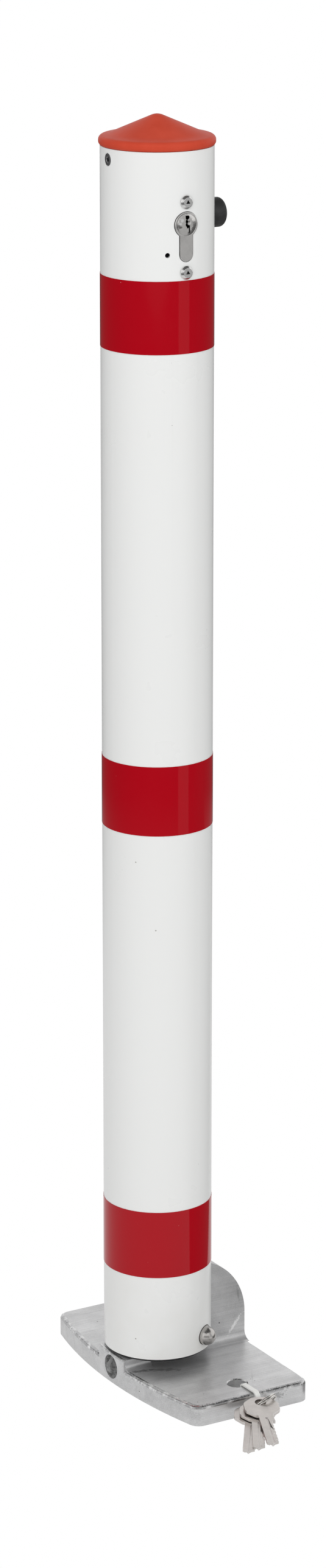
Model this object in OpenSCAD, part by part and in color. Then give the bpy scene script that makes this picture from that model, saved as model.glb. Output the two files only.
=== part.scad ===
// Fold-down barrier post: a banded tube that swings flat about a pin in a cast base plate.
// Millimetres. Origin on the ground under the tube's axis, +Z up, lock towards -Y, folds towards +X.

/* [Post] */
// Height from the ground to the tip of the cap
post_h = 898; // [760:1:1100]
// Outer diameter of the tube
tube_d = 76; // [63:0.5:92]
// Wall thickness of the tube
tube_wall = 3; // [2:0.1:4]
// Height of one reflective band
band_h = 49; // [30:1:70]
// Thickness of the reflective foil
band_t = 0.2; // [0.1:0.05:0.4]
// Height of the lower band's lower edge above the ground
lower_band_z = 87; // [86:1:110]
// Height of the middle band's lower edge above the ground
middle_band_z = 411; // [250:1:480]
// Distance of the upper band's upper edge below the tip of the cap
upper_band_drop = 105.4; // [103:0.1:140]

/* [Cap] */
// Height of the cap above the tube's upper end
cap_h = 20.3; // [18:0.1:30]
// How far the cap's rim stands out past the tube
cap_lip = 1; // [0.5:0.1:2]
// Height of the cap's rim
cap_rim_h = 6.6; // [5.4:0.1:8]
// Slope of the cap's cone
cap_cone_deg = 23.5; // [20:0.5:26]
// Depth of the plug that holds the cap in the tube
cap_plug_h = 18; // [15:1:22]
// Distance of the cap's screw below the tip of the cap
cap_screw_drop = 27.6; // [26:0.1:34]

/* [Base] */
// Length of the base plate
plate_len = 196; // [170:1:240]
// Thickness of the base plate
plate_t = 15; // [12:0.5:20]
// Distance of the plate's straight side from the tube's axis
plate_side = 66.5; // [62:0.5:82]
// Width of the plate at its ends
plate_end_w = 92.5; // [80:0.5:110]
// How far the curved side bulges out at its middle
plate_bulge = 12.4; // [8:0.1:15]
// Radius of the plate's corners in plan
plate_corner_r = 8; // [5:0.5:12]
// Bevel along the plate's upper edge
plate_bevel = 2.6; // [1:0.1:4]
// Thickness of the upright lug
lug_t = 20; // [16:0.5:24]
// Fillet at the foot of the lug
lug_fillet = 6.5; // [4:0.5:6.5]
// Width of the stop under the tube
stop_w = 35; // [26:1:45]
// Diameter of the cored seat in the stop
stop_seat_d = 17.5; // [12:0.5:18]
// Depth of the cored seat
stop_seat_depth = 18; // [10:1:20]
// Distance between the two anchor holes
anchor_spacing = 152.8; // [130:0.2:160]
// Diameter of the anchor holes
anchor_d = 14; // [10:0.5:16]

/* [Hinge] */
// Distance of the hinge pin from the tube's axis
pin_x = 20; // [17:0.5:21]
// Diameter of the hinge pin
pin_d = 12; // [8:0.5:14]
// Diameter of the pin's domed heads
pin_head_d = 13.3; // [13:0.1:16]
// Radial running clearance of the pin in the lug
pin_clear = 0.05; // [0.02:0.01:0.1]
// Angle through which the post folds down
fold_deg = 90.4; // [90:0.1:90.6]
// Clearance between the folded tube and the plate
fold_gap = 2.5; // [2:0.1:6]
// Clearance between the swinging lower edge and the plate
swing_gap = 0.9; // [0.6:0.1:2]
// Clearance on each side of the lug
slot_gap = 0.8; // [0.6:0.1:1.5]
// Height of the insert's flange under the tube
flange_t = 2; // [1.5:0.1:3]
// Gap between the insert's flange and the stop
stop_gap = 0.2; // [0.1:0.05:0.5]
// Height of the insert inside the tube
insert_h = 35; // [28:1:40]

/* [Lock] */
// Distance of the cylinder's plug below the tip of the cap
lock_drop = 68.4; // [64:0.2:90]
// Length of the half cylinder
cylinder_len = 40; // [38:0.5:42]
// Overall height of the profile cylinder
cylinder_h = 33; // [31:0.5:34]
// Diameter of the round part of the profile
cylinder_d = 17; // [16.5:0.1:17.5]
// Width of the web of the profile
web_w = 10; // [9:0.2:11]
// Diameter of the plug
plug_d = 13; // [11:0.1:13]
// Diameter of the locking rod
rod_d = 12; // [8:0.5:13]
// Travel of the locking rod
rod_travel = 16; // [12:0.5:16]
// Gap between the raised rod and the lug
rod_lift_gap = 1; // [0.6:0.1:2]
// Thickness of the rod guides
guide_t = 10; // [6:1:12]
// Diameter of the two screws that hold the lock
lock_screw_d = 5; // [4:0.5:6]
// Diameter of those screws' heads
lock_screw_head_d = 9.2; // [8:0.2:10]

/* [Buffer] */
// Distance of the rubber buffer below the tip of the cap
buffer_drop = 69; // [64:0.5:90]
// Diameter of the buffer
buffer_d = 20; // [16:0.5:24]
// How far the buffer stands out of the tube
buffer_out = 11.5; // [8:0.5:12]

/* [Keys] */
// Length of a key
key_len = 62; // [55:1:66]
// Width of a key's bow
bow_w = 24; // [20:0.5:26]
// Width of a key's blade
blade_w = 8.6; // [7:0.2:9]
// Thickness of a key
key_t = 2.2; // [1.8:0.1:2.4]
// Outer diameter of the split ring
ring_d = 21; // [20:0.5:24]
// Wire of the split ring
ring_wire = 1.5; // [1.2:0.1:1.6]
// Width of the cable tie's strap
tie_w = 3.6; // [2.5:0.1:4.8]
// Thickness of the strap
tie_t = 1.2; // [1:0.1:1.4]

/* [Hidden] */
$fn = 96;
// Overlap that makes neighbouring shapes one solid, and overshoot of a cut
bond = 0.5;
// Clearance of pieces that are pushed into each other
push_gap = 0.05;
// Clearance of screws in through holes
screw_gap = 0.2;

tube_r = tube_d / 2;
tube_ri = tube_r - tube_wall;
tube_z1 = post_h - cap_h;
slot_w = lug_t + 2 * slot_gap;

// The pin stands so high that the folded tube clears the plate
pin_z = plate_t + tube_r - pin_x + fold_gap;
pin_r = pin_d / 2;
lug_r = plate_side - pin_x;
// The tube's lower edge clears the plate while it swings
swing_r = pin_z - plate_t - swing_gap;
slot_edge = sqrt(pow(tube_r, 2) - pow(slot_w / 2, 2)) - pin_x;
tube_z0 = pin_z - sqrt(pow(swing_r, 2) - pow(slot_edge, 2));
flange_z = tube_z0 - flange_t;
flange_edge = pin_x + sqrt(pow(swing_r, 2) - pow(pin_z - flange_z, 2));
flange_r = min(tube_r - 0.5, norm([flange_edge, slot_w / 2]));
insert_z1 = tube_z0 + insert_h;
stop_top = flange_z - stop_gap;
// The slot in the tube ends above the lug's rim
lug_room = 1.2;
slot_corner_r = 3;
slot_top = pin_z + lug_r + lug_room + 1;
head_room = 0.4;
head_seat_y = sqrt(pow(tube_ri, 2) - pow(pin_x, 2)) - 2.7;
head_ball_y = sqrt(pow(tube_r, 2) - pow(pin_x, 2)) + 2.4;
pin_thread_d = 6;
pin_thread_len = 14;
washer_d = 23;
washer_t = slot_gap - 0.2;

// The plate's curved side is one arc through its ends and its bulge
plate_x0 = plate_side - plate_end_w;
arc_r = (pow(plate_len / 2, 2) + pow(plate_bulge, 2)) / (2 * plate_bulge);
arc_x = plate_x0 - plate_bulge + arc_r;
stop_seat_z = 11.7;
stop_inner_x = -16;

// Lock, measured from the plug's axis
lock_z = post_h - lock_drop;
face_y = -tube_r - 0.2;
cylinder_r = cylinder_d / 2;
plug_r = plug_d / 2;
collar_r = plug_r + 0.8;
collar_depth = 2;
// The plug's face stands proud of a wide shallow bevel
plug_face_r = 4.2;
plug_proud = 0.6;
cylinder_gap = 0.2;
cam_mid_y = face_y + 30;
cam_t = 9.6;
cam_slot_t = 10;
cam_room = 15.2;
cam_hub_r = cylinder_r - 0.3;
nose_r = 2.6;
// The nose swings from 45 degrees above to 45 degrees below the level
nose_reach = rod_travel / 2 / sin(45);
fixing_d = 5;
fixing_drop = 19.8;
keyway_depth = 27;

// Driver that the cam's nose lifts and lowers
driver_t = 3;
driver_x = cylinder_r + 0.5;
driver_w = 18;
window_w = 11;
window_h = 2 * (nose_r + 0.8);
window_z = lock_z + rod_travel / 2;
driver_top = window_z + window_h / 2 + 5;
driver_foot_z = lock_z - cylinder_h + cylinder_r - 15.2;
stud_d = 8;
nut_af = 13;
nut_h = 6.5;

// Locking rod and its guides
rod_r = rod_d / 2;
rod_gap = 0.4;
rod_z0 = pin_z + sqrt(pow(lug_r, 2) - pow(pin_x - rod_r, 2)) + rod_lift_gap;
rod_z1 = driver_foot_z;
socket_z = rod_z0 - rod_travel - 0.8;
guide_z0 = max(slot_top, rod_z0) + 3;
upper_guide_z = driver_foot_z - rod_travel - guide_t - 6;
spring_len = 56;
spring_r = 8.4;
spring_wire_r = 0.9;
spring_turns = 9;
rod_collar_d = 24;
rod_collar_h = 6;
rod_collar_z = upper_guide_z - spring_len - rod_collar_h;

// Block behind the tube's wall that carries the cylinder
carrier_z0 = lock_z - 39;
carrier_z1 = lock_z + 25;
carrier_w = 44;
carrier_y1 = cam_mid_y - cam_t / 2 - 4.6;
carrier_back_y = cam_mid_y - cam_t / 2 - 0.4;
upper_screw_z = lock_z + 14.9;
lower_screw_z = lock_z - 31.7;
lock_screw_head_t = 2.4;
lock_screw_len = 14;
grub_deg = 20;
grub_z = lock_z - 19.7;
grub_d = 4;
grub_len = 9;
grub_hole_d = 3.4;

cap_screw_z = post_h - cap_screw_drop;
cap_screw_d = 4.8;
cap_screw_head_d = 8;
cap_screw_hole_gap = 0.5;
cap_screw_len = 11;
cap_plug_wall = 2.6;

buffer_z = post_h - buffer_drop;
buffer_stud_d = 6;
buffer_nut_af = 10;
buffer_nut_h = 5;

// Keys on the floor in front of the plate, held by the tie through the near anchor hole
anchor_y = -anchor_spacing / 2;
plate_front = -plate_len / 2;
tie_x = pin_x + 1.5;
tie_slot_w = tie_w + 1.4;
tie_slot_h = tie_t + 0.5;
ring_r = ring_d / 2;
ring_lean = 50;
ring_yaw = 20;
key_hole_d = 8;
key_hole_x = 6.5;
// Place of each key's hole from the tie and the plate's end, then its roll, pitch and yaw
KEYS = [[[-8.7, -10.2, 7.7], [0, 6.6, -124]], [[-6.1, -12.5, 10.3], [0, 6.3, -120]],
    [[-3.8, -13, 13.3], [-2, 6.9, -112]]];
// Steps of the pin cuts along a key's blade, from the shoulder to the tip
CUTS = [1.2, 2.6, 0.9, 1.9, 0.6, 2.2];

// Extrudes an (x, z) outline from y0 to y1
module along_y(y0, y1) {
    translate([0, y1, 0]) rotate([90, 0, 0]) linear_extrude(y1 - y0) children();
}

// Extrudes a (y, z) outline from x0 to x1
module along_x(x0, x1) {
    translate([x0, 0, 0]) rotate([90, 0, 90]) linear_extrude(x1 - x0) children();
}

module ring_solid(r_out, r_in, h) {
    difference() {
        cylinder(r = r_out, h = h);
        translate([0, 0, -bond]) cylinder(r = r_in, h = h + 2 * bond);
    }
}

// Outline of the base plate: straight side and ends, one bowed side, round corners
module plate_outline(inset) {
    offset(r = plate_corner_r - inset, $fn = 40) offset(delta = -plate_corner_r) intersection() {
        translate([arc_x - arc_r, -plate_len / 2]) square([plate_side - arc_x + arc_r, plate_len]);
        translate([arc_x, 0]) circle(r = arc_r, $fn = 240);
    }
}

// The outline raised to a height, with a bevel rolled over its upper edge
module plate_slab(top, bevel) {
    hull() {
        linear_extrude(top - bevel) plate_outline(0);
        linear_extrude(top - 0.45 * bevel) plate_outline(0.25 * bevel);
        linear_extrude(top) plate_outline(bevel);
    }
}

// Fillet between an upright wall at y = side * wall_y and the plate's top
module foot_fillet(x0, x1, wall_y, r) {
    for (side = [-1, 1])
        scale([1, side, 1]) along_x(x0, x1) difference() {
            translate([wall_y - bond, plate_t - bond]) square(r + bond);
            translate([wall_y + r, plate_t + r]) circle(r = r);
        }
}

module lug_outline() {
    translate([pin_x, pin_z]) intersection() {
        circle(r = lug_r, $fn = 180);
        translate([-lug_r - 1, 0]) square([2 * lug_r + 2, lug_r + 1]);
    }
    translate([pin_x - lug_r, plate_t / 2]) square([2 * lug_r, pin_z - plate_t / 2 + bond]);
}

// Socket that the locking rod drops into
module rod_socket() {
    translate([0, 0, socket_z]) cylinder(r = rod_r + rod_gap, h = rod_z0 - socket_z + 6);
}

module fold_about_pin(deg) {
    translate([pin_x, 0, pin_z]) rotate([0, deg, 0]) translate([-pin_x, 0, -pin_z]) children();
}

module base_casting() color("#b4b4b4") {
    difference() {
        union() {
            plate_slab(plate_t, plate_bevel);
            intersection() {
                plate_slab(stop_top, 1.8);
                translate([arc_x - arc_r - 1, -stop_w / 2, plate_t / 2])
                    cube([stop_inner_x - arc_x + arc_r + 1, stop_w, plate_t]);
            }
            along_y(-lug_t / 2, lug_t / 2) lug_outline();
            difference() {
                foot_fillet(pin_x, plate_side, lug_t / 2, lug_fillet);
                along_y(-plate_len / 2, plate_len / 2)
                    translate([pin_x, pin_z]) circle(r = swing_r + 0.6);
            }
            foot_fillet(arc_x - arc_r + 2, stop_inner_x, stop_w / 2, 4);
        }
        along_y(-lug_t, lug_t) translate([pin_x, pin_z]) circle(r = pin_r + pin_clear);
        rod_socket();
        fold_about_pin(fold_deg) rod_socket();
        along_x(arc_x - arc_r - 1, arc_x - arc_r + stop_seat_depth)
            translate([0, stop_seat_z]) circle(d = stop_seat_d);
        for (side = [-1, 1]) translate([pin_x, side * anchor_spacing / 2, 0]) {
            translate([0, 0, -1]) cylinder(d = anchor_d, h = plate_t + 2);
            translate([0, 0, plate_t - 0.7]) cylinder(d1 = anchor_d, d2 = anchor_d + 3, h = 1.5);
        }
        // Relief under the front end, where the tie's strap passes below the plate
        translate([tie_x - tie_slot_w / 2, plate_front - 1, -1])
            cube([tie_slot_w, anchor_y - plate_front + 1, tie_slot_h + 1]);
    }
}

// Outline of the tie's loop: up through the anchor hole, over the edge, through the ring, back below
module tie_outline() {
    difference() {
        offset(r = tie_t / 2, $fn = 24) offset(delta = tie_t / 2) tie_core();
        tie_core();
    }
}

// Inside of the loop: snug on the plate's top and edge, bulging where the split ring hangs in it
module tie_core() {
    hole_side = anchor_y - anchor_d / 2 + 1.4;
    hull() {
        for (z = [tie_t + 1, plate_t - 0.4]) translate([hole_side - 1, z]) circle(r = 1, $fn = 24);
        translate([plate_front + 0.5, plate_t - 3]) circle(r = 4, $fn = 40);
        translate([plate_front - 3.2, tie_t + 2.6]) circle(r = 2.6, $fn = 40);
    }
}

module cable_tie() color("#f2f2ee") {
    head = [tie_w + 1.4, 4.2, 5];
    translate([tie_x - tie_w / 2, 0, 0]) along_x(0, tie_w) tie_outline();
    translate([tie_x - head[0] / 2, anchor_y - anchor_d / 2 + 2, 1]) cube(head);
}

module split_ring() color("#c8c4be") {
    translate([tie_x + 2.1, plate_front - 8.5, 10]) rotate([-ring_lean, 0, ring_yaw])
        rotate_extrude($fn = 72)
        for (side = [-1, 1])
            translate([ring_r - ring_wire / 2, side * 0.46 * ring_wire]) circle(d = ring_wire, $fn = 20);
}

// Key lying along +X with its hole at the origin
module key_blank() {
    bow_c = bow_w / 2 - key_hole_x;
    shoulder = key_len - key_hole_x - 36;
    translate([0, 0, -key_t / 2]) difference() {
        union() {
            linear_extrude(key_t) difference() {
                intersection() {
                    translate([bow_c, 0]) circle(r = 0.535 * bow_w);
                    translate([bow_c, 0]) rotate(22.5) circle(r = 0.555 * bow_w, $fn = 8);
                }
                circle(d = key_hole_d);
            }
            linear_extrude(key_t) polygon(concat(
                [[bow_c, -blade_w / 2 - 1.2], [shoulder - 3, -blade_w / 2]],
                [[key_len - key_hole_x - 3, -blade_w / 2], [key_len - key_hole_x, -0.4]],
                [[key_len - key_hole_x - 2.4, 1.6]],
                key_cuts(shoulder + 7),
                [[shoulder + 6, blade_w / 2], [shoulder + 6, blade_w / 2 + 2]],
                [[shoulder, blade_w / 2 + 1.6], [bow_c, blade_w / 2 + 3]]
            ));
        }
        for (face = [[-bond, -1.6], [key_t - 0.6, 0.6]])
            translate([shoulder + 1, face[1] - 0.7, face[0]])
                cube([key_len, 1.4, 0.6 + bond]);
    }
}

function key_cuts(x0) = [for (i = [len(CUTS) - 1 : -1 : 0]) for (k = [3, 1.6, 0.6])
    [x0 + 4.4 * i + k + 0.6, blade_w / 2 - (k == 1.6 ? CUTS[i] : 0.2)]];

module placed_key(spec) {
    translate([tie_x, plate_front, 0] + spec[0]) rotate(spec[1]) key_blank();
}

module key_1() color("#c2bab2") placed_key(KEYS[0]);
module key_2() color("#c2bab2") placed_key(KEYS[1]);
module key_3() color("#c2bab2") placed_key(KEYS[2]);

// Outline of the profile cylinder, grown by a clearance
module profile(gap) {
    translate([0, lock_z]) circle(r = cylinder_r + gap);
    translate([0, lock_z - cylinder_h + cylinder_r + web_w / 2]) circle(r = web_w / 2 + gap);
    translate([-web_w / 2 - gap, lock_z - cylinder_h + cylinder_r + web_w / 2])
        square([web_w + 2 * gap, cylinder_h - cylinder_r - web_w / 2]);
}

module slot_outline() {
    translate([-slot_w / 2, flange_z]) square([slot_w, slot_top - slot_corner_r - flange_z]);
    translate([-slot_w / 2 + slot_corner_r, slot_top - slot_corner_r - bond])
        square([slot_w - 2 * slot_corner_r, slot_corner_r + bond]);
    for (side = [-1, 1])
        translate([side * (slot_w / 2 - slot_corner_r), slot_top - slot_corner_r])
            circle(r = slot_corner_r);
}

module tube() color("#ececec") {
    difference() {
        translate([0, 0, tube_z0]) ring_solid(tube_r, tube_ri, tube_z1 - tube_z0);
        along_x(0, tube_r + 1) slot_outline();
        along_y(-tube_r - 1, tube_r + 1)
            translate([pin_x, pin_z]) circle(d = pin_head_d + 2 * head_room);
        along_y(-tube_r - 1, 0) profile(0.35);
        for (z = [upper_screw_z, lower_screw_z])
            along_y(-tube_r - 1, 0) translate([0, z]) circle(d = lock_screw_d + 2 * screw_gap);
        translate([0, 0, grub_z]) rotate([90, 0, -grub_deg]) cylinder(d = grub_hole_d, h = tube_r + 1);
        along_x(0, tube_r + 1) translate([0, buffer_z]) circle(d = buffer_stud_d + 2 * screw_gap);
        cap_screw_cut(cap_screw_hole_gap);
    }
}

// Countersunk hole or screw body on the side away from the fold
module cap_screw_cut(gap) {
    translate([-tube_r + 0.1, 0, cap_screw_z]) rotate([0, 90, 0]) {
        cylinder(d1 = cap_screw_head_d + 2 * gap, d2 = cap_screw_d + 2 * gap, h = 2.2);
        translate([0, 0, -1]) cylinder(d = cap_screw_head_d + 2 * gap, h = 1.001);
        cylinder(d = cap_screw_d + 2 * gap, h = cap_screw_len + (gap > 0 ? 2 : 0));
    }
}

module band(z0) {
    translate([0, 0, z0]) ring_solid(tube_r + band_t, tube_r + 0.01, band_h);
}

module lower_band() color("#a50014") band(max(lower_band_z, slot_top + 2));
module middle_band() color("#a50014") band(middle_band_z);
module upper_band() color("#a50014") band(post_h - upper_band_drop - band_h);

// Half section of the cap's crown: rounded rim, a hollow round its foot and a cone with a rounded tip
module cap_section() {
    rim_r = tube_r + cap_lip;
    foot_r = 2.4;
    brow_r = min(3.2, cap_rim_h / 2 - 0.1);
    brow = [rim_r - brow_r, cap_rim_h - brow_r];
    fall = 10;
    hollow_r = 20;
    tip_r = 10;
    tip_z = cap_h - tip_r;
    apex_z = tip_z + tip_r / cos(cap_cone_deg);
    // Where the rim's sloping top meets the cone
    meet_x = (apex_z - brow[1] - brow_r / cos(fall) - brow[0] * tan(fall)) / (tan(cap_cone_deg) - tan(fall));
    meet = [meet_x, apex_z - meet_x * tan(cap_cone_deg)];
    run = hollow_r * tan((cap_cone_deg - fall) / 2);
    rim_side = meet + run * [cos(fall), -sin(fall)];
    tip_edge = [tip_r * sin(cap_cone_deg), tip_z + tip_r * cos(cap_cone_deg)];
    difference() {
        polygon([[0, 0], [rim_r - foot_r, 0], [rim_r, foot_r], [rim_r, brow[1]],
            brow + brow_r * [sin(fall), cos(fall)], rim_side,
            meet + run * [-cos(cap_cone_deg), sin(cap_cone_deg)], tip_edge, [0, tip_edge[1]]]);
        translate(rim_side + hollow_r * [sin(fall), cos(fall)]) circle(r = hollow_r);
    }
    translate([rim_r - foot_r, foot_r]) circle(r = foot_r, $fn = 48);
    translate(brow) circle(r = brow_r, $fn = 48);
    intersection() {
        translate([0, tip_z]) circle(r = tip_r);
        square([tip_edge[0], cap_h]);
    }
}

module cap() color("#cb4b34") {
    difference() {
        union() {
            translate([0, 0, tube_z1]) rotate_extrude() cap_section();
            difference() {
                translate([0, 0, tube_z1 - cap_plug_h])
                    cylinder(r = tube_ri - push_gap, h = cap_plug_h + bond);
                translate([0, 0, tube_z1 - cap_plug_h - bond])
                    cylinder(r = tube_ri - cap_plug_wall, h = cap_plug_h + 2);
            }
            // Pad that the cap's screw bites into
            intersection() {
                translate([0, 0, tube_z1 - cap_plug_h]) cylinder(r = tube_ri - 1, h = cap_plug_h + bond);
                translate([-tube_ri, -5, tube_z1 - cap_plug_h]) cube([9, 10, cap_plug_h + bond]);
            }
        }
        translate([-tube_r - 1, 0, cap_screw_z]) rotate([0, 90, 0])
            cylinder(d = cap_screw_d, h = tube_r - 20);
    }
}

module cap_screw() color("#8f8f8f") {
    difference() {
        intersection() {
            cap_screw_cut(0);
            translate([0, 0, cap_screw_z - 10]) cylinder(r = tube_r - 0.2, h = 20);
        }
        translate([-tube_r, 0, cap_screw_z]) rotate([0, 90, 0]) {
            cylinder(d = 3.2, h = 2.4, $fn = 6);
            translate([0, 0, -0.1]) cylinder(d1 = 4.4, d2 = 2.4, h = 1);
        }
    }
}

// Nylon insert: two cheeks that guide the lug, a flange under the tube and the pin's seats
module hinge_insert() color("#2e2e30") {
    difference() {
        union() {
            translate([0, 0, tube_z0 - bond]) cylinder(r = tube_ri - push_gap, h = insert_h + bond);
            translate([0, 0, flange_z + 0.6]) cylinder(r = flange_r, h = flange_t - 0.6 - push_gap / 2);
            translate([0, 0, flange_z]) cylinder(r1 = flange_r - 0.6, r2 = flange_r, h = 0.6);
        }
        along_y(-slot_w / 2, slot_w / 2) {
            translate([pin_x, pin_z]) circle(r = lug_r + lug_room, $fn = 180);
            translate([pin_x - lug_r - lug_room, flange_z - 1])
                square([2 * lug_r, pin_z - flange_z + 1]);
        }
        along_y(-tube_r, tube_r) translate([pin_x, pin_z]) circle(r = pin_r + push_gap);
        for (side = [-1, 1]) scale([1, side, 1])
            along_y(head_seat_y, tube_r) translate([pin_x, pin_z])
                circle(d = pin_head_d + 2 * head_room);
    }
}

// Domed head that sits in the cheek, from its seat outwards along -Y
module domed_head() {
    along_y(-head_ball_y, -head_seat_y) translate([pin_x, pin_z]) circle(d = pin_head_d);
    translate([pin_x, -head_ball_y, pin_z]) sphere(d = pin_head_d);
}

module hinge_pin() color("#a9a39c") {
    difference() {
        union() {
            domed_head();
            along_y(-head_seat_y - bond, head_seat_y - push_gap)
                translate([pin_x, pin_z]) circle(r = pin_r);
        }
        along_y(head_seat_y - pin_thread_len, head_seat_y + 1)
            translate([pin_x, pin_z]) circle(d = pin_thread_d);
    }
}

module hinge_pin_screw() color("#a9a39c") {
    scale([1, -1, 1]) domed_head();
    along_y(head_seat_y - pin_thread_len + 1, head_seat_y + bond)
        translate([pin_x, pin_z]) circle(d = pin_thread_d - 2 * push_gap);
}

module thrust_washers() color("#d8d8d0") {
    for (side = [-1, 1])
        translate([pin_x, side * (lug_t / 2 + slot_gap / 2) + washer_t / 2, pin_z]) rotate([90, 0, 0])
            ring_solid(washer_d / 2, pin_r + push_gap, washer_t);
}

// Moulded disc with a hub, an outer ring and three webs
module rod_guide(z0) {
    hub_r = rod_r + 5;
    difference() {
        translate([0, 0, z0]) cylinder(r = tube_ri - push_gap, h = guide_t);
        translate([0, 0, z0 - 1]) cylinder(r = rod_r + rod_gap, h = guide_t + 2);
        for (i = [0 : 2]) rotate(120 * i + 90)
            translate([(tube_ri + hub_r) / 2 - 1, 0, z0 - 1])
                cylinder(r = (tube_ri - hub_r) / 2 - 3, h = guide_t + 2);
    }
}

module lower_rod_guide() color("#39393b") rod_guide(guide_z0);
module upper_rod_guide() color("#39393b") rod_guide(upper_guide_z);

module lock_carrier() color("#8c8f93") {
    difference() {
        intersection() {
            translate([0, 0, carrier_z0])
                cylinder(r = tube_ri - push_gap, h = carrier_z1 - carrier_z0);
            union() {
                translate([-carrier_w / 2, -tube_ri, carrier_z0])
                    cube([carrier_w, tube_ri + carrier_y1, carrier_z1 - carrier_z0]);
                translate([-carrier_w / 2, -tube_ri, carrier_z0])
                    cube([carrier_w / 2 + web_w / 2 + 2, tube_ri + carrier_back_y, carrier_z1 - carrier_z0]);
            }
        }
        along_y(-tube_r, 0) profile(cylinder_gap);
        for (z = [upper_screw_z, lower_screw_z])
            along_y(-tube_r, -tube_ri + lock_screw_len) translate([0, z]) circle(d = lock_screw_d);
        translate([0, 0, grub_z]) rotate([90, 0, -grub_deg]) cylinder(d = grub_d, h = tube_r);
    }
}

module cylinder_body() color("#bdb8b0") {
    difference() {
        along_y(face_y, face_y + cylinder_len) profile(0);
        along_y(face_y - 1, face_y + cylinder_len - 1.5)
            translate([0, lock_z]) circle(r = plug_r + pin_clear);
        along_y(face_y - 1, face_y + collar_depth)
            translate([0, lock_z]) circle(r = collar_r + pin_clear);
        along_y(cam_mid_y - cam_slot_t / 2, cam_mid_y + cam_slot_t / 2)
            translate([-cylinder_d, lock_z - cam_room]) square([2 * cylinder_d, 2 * cam_room]);
        along_x(-cylinder_d, cylinder_d)
            translate([cam_mid_y, lock_z - fixing_drop]) circle(d = fixing_d);
    }
}

// Zigzag slot for the key, seen from the front: wide at the top, narrow at the bottom
module keyway_outline() {
    polygon([[-1, 6], [1.4, 6], [2.1, 5.2], [1.9, 4.2], [0.9, 3.7], [0.4, 3], [1, 2.4], [0.9, 1.5],
        [0.4, 0.9], [0.6, 0.1], [2.2, -0.5], [2.2, -5.8], [1.4, -5.8], [1.3, -1.8], [0.9, -2.5],
        [0, -2.3], [-0.3, -1.2], [-1, -0.7], [-1, 0.5], [-0.6, 1], [-1, 1.5], [-1, 2.8], [-0.3, 3.4],
        [-1, 4]]);
}

module cylinder_plug() color("#cfcac2") {
    difference() {
        union() {
            along_y(face_y, cam_mid_y + cam_slot_t / 2 + 3)
                translate([0, lock_z]) circle(r = plug_r);
            along_y(face_y, face_y + collar_depth - 0.1)
                translate([0, lock_z]) circle(r = collar_r);
            translate([0, face_y, lock_z]) rotate([90, 0, 0])
                cylinder(r1 = collar_r, r2 = plug_face_r, h = plug_proud);
        }
        along_y(face_y - 1, face_y + keyway_depth - 5) translate([0, lock_z]) keyway_outline();
    }
}

module lock_cam() color("#9a958d") {
    along_y(cam_mid_y - cam_t / 2, cam_mid_y + cam_t / 2) translate([0, lock_z]) difference() {
        union() {
            circle(r = cam_hub_r);
            rotate(45) {
                translate([0, -nose_r]) square([nose_reach, 2 * nose_r]);
                translate([nose_reach, 0]) circle(r = nose_r);
            }
        }
        circle(r = plug_r + 0.01);
    }
}

module lock_screw(z) {
    translate([0, 0, z]) rotate([90, 0, 0]) difference() {
        union() {
            translate([0, 0, tube_r]) cylinder(d = lock_screw_head_d, h = lock_screw_head_t * 0.35);
            translate([0, 0, tube_r + lock_screw_head_t * 0.35]) cylinder(d1 = lock_screw_head_d,
                d2 = lock_screw_head_d - 2.6, h = lock_screw_head_t * 0.65);
            translate([0, 0, tube_ri - lock_screw_len + 1])
                cylinder(d = lock_screw_d - 2 * push_gap, h = tube_wall + lock_screw_len);
        }
        translate([0, 0, tube_r + lock_screw_head_t - 1.6]) rotate(90)
            cylinder(r = 1.7, h = 3, $fn = 3);
    }
}

module upper_lock_screw() color("#b9b9b9") lock_screw(upper_screw_z);
module lower_lock_screw() color("#b9b9b9") lock_screw(lower_screw_z);

// Grub screw that clamps the cylinder's web, reached through the small hole
module cylinder_grub_screw() color("#3a3a3a") {
    grub_in = (web_w + grub_d * cos(grub_deg)) / 2 / sin(grub_deg) + 0.1;
    translate([0, 0, grub_z]) rotate([90, 0, -grub_deg]) difference() {
        translate([0, 0, grub_in]) cylinder(d = grub_d - 2 * push_gap, h = grub_len);
        translate([0, 0, grub_in + grub_len - 2.5]) cylinder(d = 2.3, h = 3, $fn = 6);
    }
}

module rubber_buffer() color("#262628") {
    edge_r = 3;
    difference() {
        translate([0, 0, buffer_z]) rotate([0, 90, 0]) rotate_extrude() {
            square([buffer_d / 2, tube_r + buffer_out - edge_r]);
            square([buffer_d / 2 - edge_r, tube_r + buffer_out]);
            intersection() {
                translate([buffer_d / 2 - edge_r, tube_r + buffer_out - edge_r]) circle(r = edge_r);
                square([buffer_d, tube_r + buffer_out]);
            }
        }
        translate([0, 0, buffer_z - buffer_d]) cylinder(r = tube_r + 0.02, h = 2 * buffer_d);
        along_x(0, tube_r + buffer_out - 4)
            translate([0, buffer_z]) circle(d = buffer_stud_d);
    }
}

module buffer_stud() color("#9c9c9c") {
    along_x(tube_ri - buffer_nut_h - 3, tube_r + buffer_out - 4.2)
        translate([0, buffer_z]) circle(d = buffer_stud_d - 0.02);
}

module buffer_nut() color("#9c9c9c") {
    nut_x = sqrt(pow(tube_ri, 2) - pow(buffer_nut_af * 0.58, 2)) - push_gap;
    along_x(nut_x - buffer_nut_h, nut_x) translate([0, buffer_z]) difference() {
        circle(d = buffer_nut_af / cos(30), $fn = 6);
        circle(d = buffer_stud_d);
    }
}

module locking_rod() color("#b5b5b5") {
    chamfer = 1.2;
    translate([0, 0, rod_z0]) cylinder(r1 = rod_r - chamfer, r2 = rod_r, h = chamfer);
    translate([0, 0, rod_z0 + chamfer]) cylinder(r = rod_r, h = rod_z1 - rod_z0 - chamfer);
    translate([0, 0, rod_z1 - bond]) cylinder(d = stud_d, h = driver_t + nut_h + 2 + bond);
}

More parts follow.
